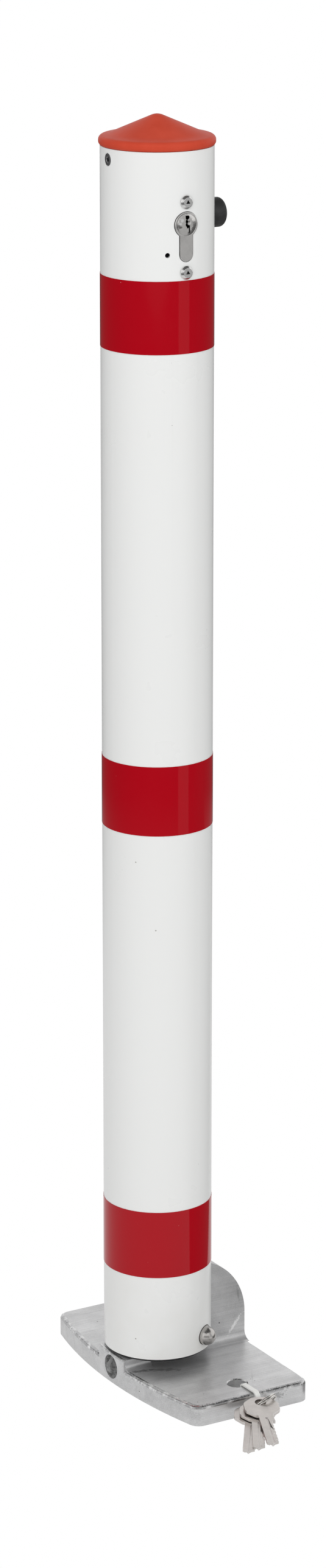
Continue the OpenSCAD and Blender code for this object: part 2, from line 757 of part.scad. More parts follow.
module rod_collar() color("#a2a2a2") {
    translate([0, 0, rod_collar_z]) ring_solid(rod_collar_d / 2, rod_r + 0.01, rod_collar_h);
}

// Bent bracket on the rod's upper end, with a window round the cam's nose
module rod_driver() color("#a0a4a8") {
    foot_x0 = -9;
    foot_w = 16;
    leg_y0 = cam_mid_y - driver_w / 2;
    bend_r = 2;
    difference() {
        union() {
            translate([foot_x0, -foot_w / 2, driver_foot_z])
                cube([driver_x - foot_x0 + driver_t, foot_w, driver_t]);
            translate([driver_x, leg_y0, driver_foot_z])
                cube([driver_t, driver_w, driver_top - driver_foot_z]);
            along_y(-foot_w / 2, leg_y0 + driver_w) difference() {
                translate([driver_x - bend_r, driver_foot_z + driver_t - bond])
                    square([bend_r + bond, bend_r + bond]);
                translate([driver_x - bend_r, driver_foot_z + driver_t + bend_r]) circle(r = bend_r);
            }
        }
        translate([0, 0, driver_foot_z - 1]) cylinder(d = stud_d + 0.1, h = driver_t + 2);
        translate([driver_x - 1, cam_mid_y - window_w / 2, window_z - window_h / 2])
            cube([driver_t + 2, window_w, window_h]);
    }
}

module rod_nut() color("#b8b8b8") {
    translate([0, 0, driver_foot_z + driver_t]) difference() {
        cylinder(d = nut_af / cos(30), h = nut_h, $fn = 6);
        translate([0, 0, -1]) cylinder(d = stud_d + 0.02, h = nut_h + 2);
    }
}

// Rings of points along a helix, joined into one closed wire
module coil(len, r, wire_r, turns, steps, sides) {
    count = turns * steps;
    points = [for (i = [0 : count]) let (a = 360 * i / steps, z = wire_r + (len - 2 * wire_r) * i / count)
        for (k = [0 : sides - 1]) let (b = 360 * k / sides)
            [(r + wire_r * cos(b)) * cos(a), (r + wire_r * cos(b)) * sin(a), z + wire_r * sin(b)]];
    faces = concat(
        [[for (k = [0 : sides - 1]) k]],
        [for (i = [0 : count - 1]) for (k = [0 : sides - 1]) let (m = (k + 1) % sides)
            [i * sides + k, (i + 1) * sides + k, (i + 1) * sides + m, i * sides + m]],
        [[for (k = [sides - 1 : -1 : 0]) count * sides + k]]);
    polyhedron(points, faces);
}

module rod_spring() color("#8a8a8a") {
    translate([0, 0, upper_guide_z - spring_len + push_gap])
        coil(spring_len - 2 * push_gap, spring_r, spring_wire_r, spring_turns, 20, 8);
}

base_casting();
cable_tie();
split_ring();
key_1();
key_2();
key_3();
tube();
lower_band();
middle_band();
upper_band();
cap();
cap_screw();
hinge_insert();
hinge_pin();
hinge_pin_screw();
thrust_washers();
lower_rod_guide();
upper_rod_guide();
lock_carrier();
cylinder_body();
cylinder_grub_screw();
upper_lock_screw();
lower_lock_screw();
rubber_buffer();
buffer_stud();
buffer_nut();
locking_rod();
rod_collar();
rod_driver();
rod_nut();
rod_spring();
cylinder_plug();
lock_cam();
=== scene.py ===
# %% [markdown]
# # Looks of a fold-down barrier post
#
# The CAD frame holds a white steel tube on a cast aluminium plate, with a lock at its top and a set
# of keys on a tie. This lesson gives each piece the finish of the real one: powder coat, glossy
# foil, moulded plastic, sanded casting and nickel. Nothing is moved: the CAD pieces are the frame.

import math

import bmesh
import bpy
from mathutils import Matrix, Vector


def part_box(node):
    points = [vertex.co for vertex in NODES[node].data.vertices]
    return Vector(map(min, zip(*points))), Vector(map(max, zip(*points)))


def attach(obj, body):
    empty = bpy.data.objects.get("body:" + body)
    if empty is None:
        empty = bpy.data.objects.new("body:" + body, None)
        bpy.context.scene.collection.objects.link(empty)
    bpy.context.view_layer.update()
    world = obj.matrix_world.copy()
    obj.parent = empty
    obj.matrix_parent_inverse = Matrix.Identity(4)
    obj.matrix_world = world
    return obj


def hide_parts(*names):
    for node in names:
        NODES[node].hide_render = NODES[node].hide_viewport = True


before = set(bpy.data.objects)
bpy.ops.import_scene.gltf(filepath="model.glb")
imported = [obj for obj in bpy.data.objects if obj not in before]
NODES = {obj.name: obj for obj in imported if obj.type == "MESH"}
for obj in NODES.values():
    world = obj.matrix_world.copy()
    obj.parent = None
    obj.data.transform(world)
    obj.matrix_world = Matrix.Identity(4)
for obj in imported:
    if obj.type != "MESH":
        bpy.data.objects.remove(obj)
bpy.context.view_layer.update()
MM = 0.001


# %% [markdown]
# ## Measures from the frame
#
# Some finishes need the place of a screw or of the lock. It is read from the CAD nodes' boxes, so
# that it follows the frame when a size changes there.

# %% Places read from the CAD nodes
def middle(node):
    low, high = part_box(node)
    return (low + high) / 2


def front(node):
    """The Y of a piece's face on the lock's side."""
    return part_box(node)[0].y


plug_middle = middle("cylinder_plug")
LOCK_MM = (plug_middle.x / MM, front("cylinder_plug") / MM, plug_middle.z / MM)
print("lock at", [round(v, 1) for v in LOCK_MM], "mm")

# %% [markdown]
# ## Camera
#
# The photograph looks at the post from above its top, turned a third of the way from its lock side
# to the plate's curved side. A long lens from a few metres away keeps the tube's sides nearly
# parallel. The camera tilts and has no shift, so that other views keep the part in the middle too.

# %% The camera of the photograph
scene = bpy.context.scene
VIEW_AZ = math.radians(-30.5)
RIGHT = Vector((math.cos(VIEW_AZ), math.sin(VIEW_AZ), 0))
AWAY = Vector((-math.sin(VIEW_AZ), math.cos(VIEW_AZ), 0))
UP = Vector((0, 0, 1))
CAMERA_DISTANCE = 3.0
CAMERA_HEIGHT = 1.3183
CAMERA_SIDE = 0.0039
CAMERA_TILT = math.radians(16.368)
LENS_MM, SENSOR_MM = 104.35, 36
CLIP_END = 30

camera = bpy.data.objects.new("camera", bpy.data.cameras.new("camera"))
scene.collection.objects.link(camera)
camera.data.lens = LENS_MM
camera.data.sensor_width = SENSOR_MM
camera.data.clip_end = CLIP_END
camera.location = -AWAY * CAMERA_DISTANCE + RIGHT * CAMERA_SIDE + UP * CAMERA_HEIGHT
camera.rotation_euler = (math.pi / 2 - CAMERA_TILT, 0, VIEW_AZ)
scene.camera = camera
print("camera at", [round(v, 3) for v in camera.location])


# %% [markdown]
# ## Floor, background and light
#
# The photograph is a cut-out on white, so the camera sees plain white all round. Shiny surfaces see
# a studio instead. It has white paper under the post that fades out after a metre, dark floor
# beyond it and a dark ceiling. A grey card on the right draws the bright strip on the foil, a paler
# wall stands behind the camera, and two dark sheets shade the plate's edges. All of that is seen in
# reflections only. Three soft lamps give the light.

# %% Helpers for node trees
def add(tree, kind, inputs=None, **props):
    """Adds a node: props are its settings, and an input is a value or another node's socket."""
    new = tree.nodes.new(kind)
    for key, value in props.items():
        setattr(new, key, value)
    for key, value in (inputs or {}).items():
        if isinstance(value, bpy.types.NodeSocket):
            tree.links.new(value, new.inputs[key])
        else:
            new.inputs[key].default_value = value
    return new


def maths(tree, operation, first, second):
    return add(tree, "ShaderNodeMath", {0: first, 1: second}, operation=operation).outputs[0]


def remap(tree, value, low, high, to_low=0.0, to_high=1.0):
    """A value moved from one range to another, and held at the ends."""
    inputs = {"Value": value, "From Min": low, "From Max": high, "To Min": to_low, "To Max": to_high}
    return add(tree, "ShaderNodeMapRange", inputs).outputs[0]


def grey(tone):
    return (tone, tone, tone)


def ray_kind(tree, *kinds):
    """1 for rays of any of these kinds, such as camera or glossy rays."""
    path = add(tree, "ShaderNodeLightPath")
    total = path.outputs[f"Is {kinds[0]} Ray"]
    for kind in kinds[1:]:
        total = maths(tree, "MAXIMUM", total, path.outputs[f"Is {kind} Ray"])
    return total


def seen_or_lit(tree, lit, seen):
    """One shader for the light that things receive, another for what is seen or mirrored."""
    mask = ray_kind(tree, "Camera", "Glossy", "Transmission")
    return add(tree, "ShaderNodeMixShader", {0: mask, 1: lit.outputs[0], 2: seen.outputs[0]}).outputs[0]


# %% World
scene.view_settings.view_transform = "Standard"
world = bpy.data.worlds.new("studio")
scene.world = world
world.use_nodes = True
tree = world.node_tree
tree.nodes.clear()
AMBIENT = 0.60
WHITE = (1, 1, 1, 1)
plain = add(tree, "ShaderNodeBackground", {"Color": WHITE, "Strength": AMBIENT})
white = add(tree, "ShaderNodeBackground", {"Color": WHITE, "Strength": 1.0})
add(tree, "ShaderNodeOutputWorld", {"Surface": seen_or_lit(tree, plain, white)})
print("world: ambient light", AMBIENT)


# %% Floor
def flat_sheet(name, size_x, size_y):
    """A rectangle in its own XY plane, made a mesh by bmesh."""
    bm = bmesh.new()
    bmesh.ops.create_grid(bm, x_segments=1, y_segments=1, size=0.5)
    bmesh.ops.scale(bm, vec=(size_x, size_y, 1), verts=bm.verts)
    mesh = bpy.data.meshes.new(name)
    bm.to_mesh(mesh)
    bm.free()
    new = bpy.data.objects.new(name, mesh)
    scene.collection.objects.link(new)
    return new


def empty_material(sheet, name):
    """Gives a sheet a material without nodes, and returns its node tree."""
    material = bpy.data.materials.new(name)
    material.use_nodes = True
    material.node_tree.nodes.clear()
    sheet.data.materials.append(material)
    return material.node_tree


FLOOR_SIZE = 14
FLOOR_DROP = 0.0002
PAPER_END, PAPER_FADE = 0.9, 1.5
PAPER_SHINE, FLOOR_SHINE = 0.80, 0.10
PAPER_TONE = 0.86

floor = flat_sheet("floor", FLOOR_SIZE, FLOOR_SIZE)
floor.location.z = -FLOOR_DROP
tree = empty_material(floor, "pale_floor")
place = add(tree, "ShaderNodeTexCoord").outputs["Object"]
from_post = add(tree, "ShaderNodeVectorMath", {0: place}, operation="LENGTH").outputs["Value"]
paper_shine = remap(tree, from_post, PAPER_END, PAPER_FADE, PAPER_SHINE, FLOOR_SHINE)
shine = maths(tree, "MAXIMUM", paper_shine, ray_kind(tree, "Camera", "Transmission"))
paper = add(tree, "ShaderNodeBsdfDiffuse", {"Color": (*grey(PAPER_TONE), 1)})
glow = add(tree, "ShaderNodeEmission", {"Color": WHITE, "Strength": shine})
add(tree, "ShaderNodeOutputMaterial", {"Surface": seen_or_lit(tree, paper, glow)})
print("floor:", FLOOR_SIZE, "m, with paper out to", PAPER_FADE, "m")


# %% Lamps
def place_round(thing, azimuth, distance, height, aim_height):
    """Puts a thing round the post, azimuth counted from the camera's, and turns it to face the post."""
    angle = VIEW_AZ + math.radians(azimuth)
    thing.location = (math.sin(angle) * distance, -math.cos(angle) * distance, height)
    to_post = Vector((0, 0, aim_height)) - thing.location
    thing.rotation_euler = to_post.to_track_quat("-Z", "Y").to_euler()


# Name, azimuth in degrees, distance and height, the lamp's own width and height, watts
LAMPS = (
    ("left_lamp", -30, 3.0, 1.7, 3.0, 2.6, 24),
    ("right_lamp", 34, 3.2, 1.3, 2.2, 2.4, 18),
    ("top_lamp", 10, 1.6, 2.6, 1.6, 1.6, 8),
)
LAMP_AIM = 0.45

for name, azimuth, distance, height, width, tall, watts in LAMPS:
    data = bpy.data.lights.new(name, "AREA")
    data.shape = "RECTANGLE"
    data.size, data.size_y = width, tall
    data.energy = watts
    lamp = bpy.data.objects.new(name, data)
    scene.collection.objects.link(lamp)
    place_round(lamp, azimuth, distance, height, LAMP_AIM)
    lamp.visible_glossy = False
print("lamps:", len(LAMPS))


# %% Things that only reflections see
def reflected_card(name, width, tall, tone):
    """A sheet with an even tone that neither the camera nor the light sees, only glossy rays."""
    card = flat_sheet(name, width, tall)
    for rays in ("camera", "diffuse", "shadow", "transmission", "volume_scatter"):
        setattr(card, "visible_" + rays, False)
    tree = empty_material(card, name)
    even = add(tree, "ShaderNodeEmission", {"Color": WHITE, "Strength": tone})
    add(tree, "ShaderNodeOutputMaterial", {"Surface": even.outputs[0]})
    return card


# Name, width, height and tone of a card, then azimuth, distance, height and the height it faces
CARDS = (
    ("strip_card", 0.50, 1.3, 0.5, 55, 1.2, 0.65, 0.65),
    ("front_wall", 6.0, 1.6, 0.35, 0, 4.2, 0.8, 0.8),
    ("dark_back_card", 1.3, 0.9, 0.12, -123, 1.6, 1.0, 0.0),
)
CEILING_HEIGHT = 2.6
FLAG_AZ = 68
FLAG_OUT, FLAG_SIDE, FLAG_LIFT = 0.82, 0.5, 0.0004

for name, width, tall, tone, azimuth, distance, height, aim_height in CARDS:
    place_round(reflected_card(name, width, tall, tone), azimuth, distance, height, aim_height)
ceiling = reflected_card("ceiling", 4.0, 4.0, 0.10)
ceiling.location.z = CEILING_HEIGHT
# Where the paper ends on the right: a dark sheet on the floor whose edge points at the post
flag_angle = VIEW_AZ + math.radians(FLAG_AZ)
outwards = Vector((math.sin(flag_angle), -math.cos(flag_angle), 0))
sideways = Vector((-outwards.y, outwards.x, 0))
flag = reflected_card("dark_flag", 1.4, 1.0, 0.12)
flag.location = outwards * FLAG_OUT + sideways * FLAG_SIDE + UP * FLAG_LIFT
flag.rotation_euler.z = math.atan2(outwards.y, outwards.x)
print("cards:", len(CARDS) + 2)


# %% [markdown]
# ## Shared effects
#
# Some effects come back in many finishes: tiny specks of dust, streaks of a brush or belt, soft
# blotches and single marks. Each one is a node group with named inputs, so that a finish states
# only its sizes. All read Object coordinates in metres, so a scale is a count of features a metre.

# %% Node groups for specks, streaks, blotches and marks
def group(name, output, **inputs):
    """A group that takes coordinates and these inputs, and puts out one value."""
    tree = bpy.data.node_groups.new(name, "ShaderNodeTree")
    sockets = tree.interface
    sockets.new_socket(name="Vector", in_out="INPUT", socket_type="NodeSocketVector")
    for key, value in inputs.items():
        kind = "NodeSocketVector" if isinstance(value, tuple) else "NodeSocketFloat"
        made = sockets.new_socket(name=key.replace("_", " "), in_out="INPUT", socket_type=kind)
        made.default_value = value
    sockets.new_socket(name=output, in_out="OUTPUT", socket_type="NodeSocketFloat")
    return tree, add(tree, "NodeGroupInput"), add(tree, "NodeGroupOutput")


def noise(tree, vector, scale, detail, roughness=0.5):
    inputs = {"Vector": vector, "Scale": scale, "Detail": detail, "Roughness": roughness}
    return add(tree, "ShaderNodeTexNoise", inputs).outputs["Fac"]


# Specks: round dots in a share of the cells
specks, gin, gout = group("specks", "Mask", Per_Metre=300.0, Radius=0.12, Share=0.1)
cell_inputs = {"Vector": gin.outputs["Vector"], "Scale": gin.outputs["Per Metre"]}
cells = add(specks, "ShaderNodeTexVoronoi", cell_inputs)
chance = add(specks, "ShaderNodeSeparateColor", {0: cells.outputs["Color"]})
picked = maths(specks, "LESS_THAN", chance.outputs[0], gin.outputs["Share"])
spread = maths(specks, "MULTIPLY", chance.outputs[1], gin.outputs["Radius"])
near = maths(specks, "LESS_THAN", cells.outputs["Distance"], spread)
specks.links.new(maths(specks, "MULTIPLY", picked, near), gout.inputs["Mask"])

# Streaks: noise drawn out along X, or along another axis when the coordinates are turned first
streaks, gin, gout = group("streaks", "Value", Along=12.0, Across=900.0, Detail=3.0)
axes = {0: gin.outputs["Along"], 1: gin.outputs["Across"], 2: gin.outputs["Across"]}
scales = add(streaks, "ShaderNodeCombineXYZ", axes).outputs[0]
stretched = {0: gin.outputs["Vector"], 1: scales}
drawn = add(streaks, "ShaderNodeVectorMath", stretched, operation="MULTIPLY").outputs[0]
lines = noise(streaks, drawn, 1.0, gin.outputs["Detail"], roughness=0.6)
streaks.links.new(lines, gout.inputs["Value"])

# Blotches: soft clouds with a set contrast
blotches, gin, gout = group("blotches", "Value", Per_Metre=40.0, From=0.4, To=0.65)
clouds = noise(blotches, gin.outputs["Vector"], gin.outputs["Per Metre"], 4.0, roughness=0.6)
levels = remap(blotches, clouds, gin.outputs["From"], gin.outputs["To"])
blotches.links.new(levels, gout.inputs["Value"])

# A mark: a soft spot of any size and turn at one place of the part, with a ragged rim
marks, gin, gout = group("mark", "Mask", Place=(0, 0, 0), Turn=(0, 0, 0), Size=(0.01, 0.01, 0.01),
                         Ragged=0.4, Grain=400.0)
own_place = {"Vector": gin.outputs["Vector"], "Location": gin.outputs["Place"],
             "Rotation": gin.outputs["Turn"], "Scale": gin.outputs["Size"]}
local = add(marks, "ShaderNodeMapping", own_place, vector_type="TEXTURE").outputs[0]
length = add(marks, "ShaderNodeVectorMath", {0: local}, operation="LENGTH").outputs["Value"]
grain = noise(marks, gin.outputs["Vector"], gin.outputs["Grain"], 3.0)
uneven = remap(marks, grain, 0.3, 0.7, -1.0, 1.0)
rough_rim = maths(marks, "MULTIPLY", uneven, gin.outputs["Ragged"])
fade = remap(marks, maths(marks, "ADD", length, rough_rim), 0.5, 1.1, 1.0, 0.0)
marks.links.new(fade, gout.inputs["Mask"])
print("node groups:", [each.name for each in (specks, streaks, blotches, marks)])


# %% Helpers for finishes
class Finish:
    """A material with its principled shader, its object coordinates and short ways to add effects."""

    def __init__(self, name, color, roughness, metallic=0.0, **sockets):
        self.material = bpy.data.materials.new(name)
        self.material.use_nodes = True
        self.tree = self.material.node_tree
        self.shader = self.tree.nodes["Principled BSDF"]
        self.where = add(self.tree, "ShaderNodeTexCoord").outputs["Object"]
        self.set("Base Color", (*color, 1))
        self.set("Roughness", roughness)
        self.set("Metallic", metallic)
        for key, value in sockets.items():
            self.set(key.replace("_", " "), value)

    def set(self, socket, value):
        if isinstance(value, bpy.types.NodeSocket):
            self.tree.links.new(value, self.shader.inputs[socket])
        else:
            self.shader.inputs[socket].default_value = value

    def effect(self, node_group, **inputs):
        """One of the shared groups, read at the object coordinates or at a vector that is given."""
        made = add(self.tree, "ShaderNodeGroup", node_tree=node_group)
        self.tree.links.new(inputs.pop("vector", self.where), made.inputs["Vector"])
        for key, value in inputs.items():
            made.inputs[key.replace("_", " ")].default_value = value
        return made.outputs[0]

    def turned(self, degrees, offset=(0, 0, 0)):
        """The object coordinates turned about X, Y and Z, and moved."""
        turn = [math.radians(d) for d in degrees]
        inputs = {"Vector": self.where, "Rotation": turn, "Location": offset}
        return add(self.tree, "ShaderNodeMapping", inputs).outputs[0]

    def mix(self, mask, first, second):
        """A colour between two, by a mask."""
        made = add(self.tree, "ShaderNodeMix", {0: mask}, data_type="RGBA")
        for index, value in ((6, first), (7, second)):
            if isinstance(value, bpy.types.NodeSocket):
                self.tree.links.new(value, made.inputs[index])
            else:
                made.inputs[index].default_value = (*value, 1)
        return made.outputs[2]

    def ranged(self, value, low, high):
        """A 0 to 1 value moved into a range."""
        return remap(self.tree, value, 0.0, 1.0, low, high)

    def maths(self, operation, first, second):
        return maths(self.tree, operation, first, second)

    def bump(self, height, metres):
        """Adds a bump of that depth to the shader's normal."""
        inputs = {"Height": height, "Distance": metres, "Strength": 1.0}
        self.set("Normal", add(self.tree, "ShaderNodeBump", inputs).outputs[0])

    def mark(self, base, colour, place_mm, size_mm, turn=(0, 0, 0), ragged=0.4, grain=400.0,
             strength=1.0):
        """The base colour with one mark on it, at a place in the part's frame."""
        mask = self.effect(marks, Place=[v * MM for v in place_mm], Size=[v * MM for v in size_mm],
                           Turn=[math.radians(v) for v in turn], Ragged=ragged, Grain=grain)
        return self.mix(self.maths("MULTIPLY", mask, strength), base, colour)


# %% [markdown]
# ## Powder coat
#
# The tube is steel with a white powder coat: half glossy, with the faint waves that melted powder
# keeps, a few dust nibs, and a slightly warmer, duller zone where shoes and dirt reach it.

# %% White powder coat
COAT_WHITE, COAT_DULL, DUST = (0.84, 0.845, 0.835), (0.78, 0.775, 0.745), (0.42, 0.41, 0.39)
DIRT_FROM, DIRT_TO = 0.03, 0.12

coat = Finish("white_powder_coat", COAT_WHITE, 0.3, Specular_IOR_Level=0.35)
height = add(coat.tree, "ShaderNodeSeparateXYZ", {0: coat.where}).outputs[2]
foot = remap(coat.tree, height, DIRT_FROM, DIRT_TO, 1.0, 0.0)
cloud = coat.effect(blotches, Per_Metre=18.0, From=0.35, To=0.75)
base = coat.mix(coat.maths("MULTIPLY", foot, cloud), COAT_WHITE, COAT_DULL)
dots = coat.effect(specks, Per_Metre=95.0, Radius=0.055, Share=0.16)
coat.set("Base Color", coat.mix(dots, base, DUST))
coat.set("Roughness", coat.ranged(cloud, 0.27, 0.36))
coat.bump(coat.effect(blotches, Per_Metre=420.0, From=0.2, To=0.8), 0.000012)
print("powder coat:", len(coat.tree.nodes), "nodes")

# %% [markdown]
# ## Red foil
#
# Each band is a printed foil, glued on: deep red, with a clear glossy face that mirrors the studio
# weakly. A few dust specks lie on it, and the print under the face has a very fine grain.

# %% Red foil
foil = Finish("red_foil", (0.41, 0.0012, 0.008), 0.12, Specular_IOR_Level=0.25)
grain = foil.effect(blotches, Per_Metre=2600.0, From=0.2, To=0.8)
base = foil.mix(grain, (0.385, 0.0008, 0.006), (0.430, 0.0016, 0.010))
dots = foil.effect(specks, Per_Metre=160.0, Radius=0.05, Share=0.3)
foil.set("Base Color", foil.mix(dots, base, (0.60, 0.25, 0.25)))
cloud = foil.effect(blotches, Per_Metre=60.0, From=0.3, To=0.7)
foil.set("Roughness", foil.ranged(cloud, 0.05, 0.09))
print("foil:", len(foil.tree.nodes), "nodes")

# %% [markdown]
# ## Cap plastic
#
# The cap is moulded in an orange-red plastic with a fine matte grain. Dust nibs and short scuffs
# show as pale and dark specks on its cone.

# %% Cap plastic
cap_plastic = Finish("cap_plastic", (0.60, 0.060, 0.030), 0.5, Specular_IOR_Level=0.16)
cloud = cap_plastic.effect(blotches, Per_Metre=55.0, From=0.35, To=0.7)
base = cap_plastic.mix(cloud, (0.575, 0.056, 0.024), (0.625, 0.070, 0.034))
pale = cap_plastic.effect(specks, Per_Metre=210.0, Radius=0.075, Share=0.13)
base = cap_plastic.mix(pale, base, (0.85, 0.55, 0.48))
elsewhere = cap_plastic.turned((0, 0, 40), (0.3, 0.1, 0))
dark = cap_plastic.effect(specks, vector=elsewhere, Per_Metre=150.0, Radius=0.06, Share=0.12)
cap_plastic.set("Base Color", cap_plastic.mix(dark, base, (0.30, 0.02, 0.01)))
fine = cap_plastic.effect(blotches, Per_Metre=2200.0, From=0.2, To=0.8)
cap_plastic.set("Roughness", cap_plastic.ranged(fine, 0.42, 0.56))
cap_plastic.bump(fine, 0.00002)
print("cap plastic:", len(cap_plastic.tree.nodes), "nodes")

# %% [markdown]
# ## Cast aluminium
#
# The base is cast, then belt sanded on its flat faces. The sanding leaves fine streaks across the
# plate, lighter and darker patches, small dark pits and bright nicks. Its bevels were rubbed by
# hand: they are smoother, so they mirror the dark studio, with bright worn spots in places. Two dark
# streaks at the tube's foot are painted shadow on the plate.

# %% Sanded aluminium
sanded = Finish("sanded_aluminium", grey(0.72), 0.32, metallic=0.7)
across = sanded.effect(streaks, Along=26.0, Across=1500.0, Detail=3.0)
wide = sanded.effect(streaks, Along=9.0, Across=120.0, Detail=3.0)
patches = sanded.effect(blotches, Per_Metre=42.0, From=0.3, To=0.7)
clouds = sanded.effect(blotches, Per_Metre=150.0, From=0.3, To=0.75)
tone = sanded.maths("ADD", sanded.ranged(across, -0.3, 0.9), sanded.ranged(wide, -0.3, 0.5))
tone = sanded.maths("ADD", tone, sanded.ranged(patches, -0.15, 0.25))
base = sanded.mix(tone, (0.47, 0.47, 0.475), (0.80, 0.80, 0.805))
base = sanded.mix(sanded.maths("MULTIPLY", clouds, 0.3), base, grey(0.36))
slant = sanded.turned((25, 35, 62))
slanted = sanded.effect(streaks, vector=slant, Along=45.0, Across=1900.0, Detail=2.0)
base = sanded.mix(sanded.ranged(slanted, -0.35, 0.6), base, grey(0.86))
pits = sanded.effect(specks, Per_Metre=190.0, Radius=0.10, Share=0.20)
base = sanded.mix(pits, base, grey(0.16))
elsewhere = sanded.turned((20, 30, 50), (0.2, 0.4, 0.1))
nicks = sanded.effect(specks, vector=elsewhere, Per_Metre=210.0, Radius=0.10, Share=0.14)
base = sanded.mix(nicks, base, grey(0.97))

# Tone, place and size in millimetres, turn in degrees, ragged rim, grain and strength of each mark;
# the two dark ones at the tube's foot are painted shadow, the others are marks in the metal
CASTING_MARKS_AND_SHADOWS = {
    "scratch on the lug": (0.98, (58, -10, 27), (1.3, 2, 9.5), (0, 38, 0), 0.5, 900.0, 0.8),
    "streaks by its rim": (0.30, (61, -10, 50), (1.0, 2, 7), (0, -8, 0), 0.5, 600.0, 0.5),
    "pit in the lug": (0.15, (45.3, -10, 30.8), (0.7, 1, 0.7), (0, 0, 0), 0.3, 600.0, 1.0),
    # Painted shadow: two dark streaks on the plate where the tube's foot shades it
    "painted shadow by the stop": (0.14, (-27.5, -24, 15), (8, 2.4, 3), (0, 0, -12), 0.5, 300.0, 0.7),
    "painted shadow by the tube": (0.20, (-12, -31, 15), (12, 2.2, 3), (0, 0, -28), 0.6, 350.0, 0.5),
    "blotch on the end": (0.34, (40, -98, 9), (5, 2, 2.5), (0, 0, 0), 0.8, 500.0, 0.8),
    "line by the hole": (0.33, (35, -72, 15), (13, 0.7, 2), (0, 0, 60), 0.6, 300.0, 0.35),
}
for tone, *spot in CASTING_MARKS_AND_SHADOWS.values():
    base = sanded.mark(base, grey(tone), *spot)
sanded.set("Base Color", base)
sanded.set("Roughness", sanded.ranged(across, 0.26, 0.46))
sanded.bump(across, 0.00002)
print("sanded aluminium:", len(sanded.tree.nodes), "nodes, with", ", ".join(CASTING_MARKS_AND_SHADOWS))

# %% Rough skin inside the cored seat
cast_skin = Finish("cast_skin", grey(0.6), 0.4, metallic=0.85)
lumps = cast_skin.effect(blotches, Per_Metre=320.0, From=0.4, To=0.6)
cast_skin.set("Base Color", cast_skin.mix(lumps, grey(0.50), grey(0.92)))
cast_skin.set("Roughness", cast_skin.ranged(lumps, 0.3, 0.55))
cast_skin.bump(lumps, 0.0003)
print("cast skin:", len(cast_skin.tree.nodes), "nodes")

# %% Rubbed bevels
rubbed = Finish("rubbed_bevel", grey(0.6), 0.2, metallic=1.0)
worn = rubbed.effect(blotches, Per_Metre=150.0, From=0.48, To=0.66)
stretch = rubbed.effect(blotches, Per_Metre=55.0, From=0.35, To=0.65)
base = rubbed.mix(worn, (0.40, 0.40, 0.405), grey(0.95))
rubbed.set("Base Color", rubbed.mix(rubbed.maths("MULTIPLY", stretch, 0.3), base, grey(0.75)))
rubbed.set("Roughness", rubbed.ranged(worn, 0.18, 0.42))
rubbed.bump(rubbed.effect(blotches, Per_Metre=300.0, From=0.3, To=0.8), 0.00018)
print("rubbed bevel:", len(rubbed.tree.nodes), "nodes")


# %% [markdown]
# ## Small metal parts
#
# Keys and cylinder are nickel plated with a warm, silky face. Screws and nuts are zinc plated and
# brighter. The pin's head is turned steel. One recipe makes them all, each with its own tone,
# roughness and streaks.

# %% Nickel, zinc and steel
SHADE = 0.72


def plated(name, color, rough_low, rough_high, along=60.0, across=2200.0, depth=0.000006):
    metal = Finish(name, color, rough_low, metallic=1.0)
    lines = metal.effect(streaks, Along=along, Across=across, Detail=2.0)
    cloud = metal.effect(blotches, Per_Metre=140.0, From=0.35, To=0.7)
    tone = metal.maths("ADD", metal.ranged(lines, 0.3, 0.8), metal.ranged(cloud, -0.1, 0.3))
    metal.set("Base Color", metal.mix(tone, tuple(SHADE * c for c in color), color))
    metal.set("Roughness", metal.ranged(lines, rough_low, rough_high))
    metal.bump(lines, depth)
    return metal


NICKEL = (0.80, 0.785, 0.765)
nickel = plated("satin_nickel", NICKEL, 0.16, 0.26)
bright_nickel = plated("bright_nickel_edge", (0.90, 0.89, 0.88), 0.08, 0.16)
key_metal = plated("key_nickel", (0.74, 0.70, 0.67), 0.22, 0.40)
zinc = plated("bright_zinc", (0.82, 0.82, 0.81), 0.18, 0.32)
dull_steel = plated("dull_steel", (0.34, 0.34, 0.35), 0.3, 0.5)
pin_steel = plated("turned_steel", (0.60, 0.58, 0.56), 0.16, 0.34, along=900.0, across=1500.0)
wire = plated("polished_wire", (0.72, 0.70, 0.67), 0.06, 0.14)
black_steel = plated("blackened_steel", (0.05, 0.05, 0.055), 0.35, 0.5)
spring_steel = plated("spring_steel", (0.30, 0.30, 0.31), 0.25, 0.4)
# Painted shade: a dark grey for the faces deep in a screw's socket
shadowed = plated("painted_recess_shade", grey(0.16), 0.4, 0.6)
sawn = plated("sawn_aluminium", (0.50, 0.51, 0.52), 0.35, 0.55, across=1200.0, depth=0.00003)
print("plated metals: one recipe,", len(nickel.tree.nodes), "nodes each")

# %% The plug's cone, with painted reflections
# Painted reflection of a window: two bright patches, a dark one below them, a pair on the other side.
# Colour, place beside and above the plug's axis, width and height in millimetres
PLUG_PAINTED_REFLECTIONS = (
    ((1, 1, 1), -3.6, 3.0, 1.3, 1.5),
    ((1, 1, 1), -4.8, 0.8, 1.3, 1.1),
    ((0.20, 0.19, 0.18), -4.9, -1.4, 1.2, 1.0),
    ((0.97, 0.96, 0.94), 2.2, 0.9, 0.9, 1.3),
    ((0.30, 0.29, 0.28), 1.6, 2.0, 0.8, 0.8),
)
PLUG_REFLECTION_DEPTH = 3

plug_nickel_painted_reflections = plated("plug_nickel_painted_reflections", NICKEL, 0.14, 0.22)
base = plug_nickel_painted_reflections.shader.inputs["Base Color"].links[0].from_socket
# Each patch of the painted reflection is mixed into the nickel's colour
for colour, beside, above, width, tall in PLUG_PAINTED_REFLECTIONS:
    place_mm = (LOCK_MM[0] + beside, LOCK_MM[1], LOCK_MM[2] + above)
    size_mm = (width, PLUG_REFLECTION_DEPTH, tall)
    base = plug_nickel_painted_reflections.mark(base, colour, place_mm, size_mm, ragged=0.25, grain=900.0)
plug_nickel_painted_reflections.set("Base Color", base)
print("plug nickel:", len(plug_nickel_painted_reflections.tree.nodes), "nodes")


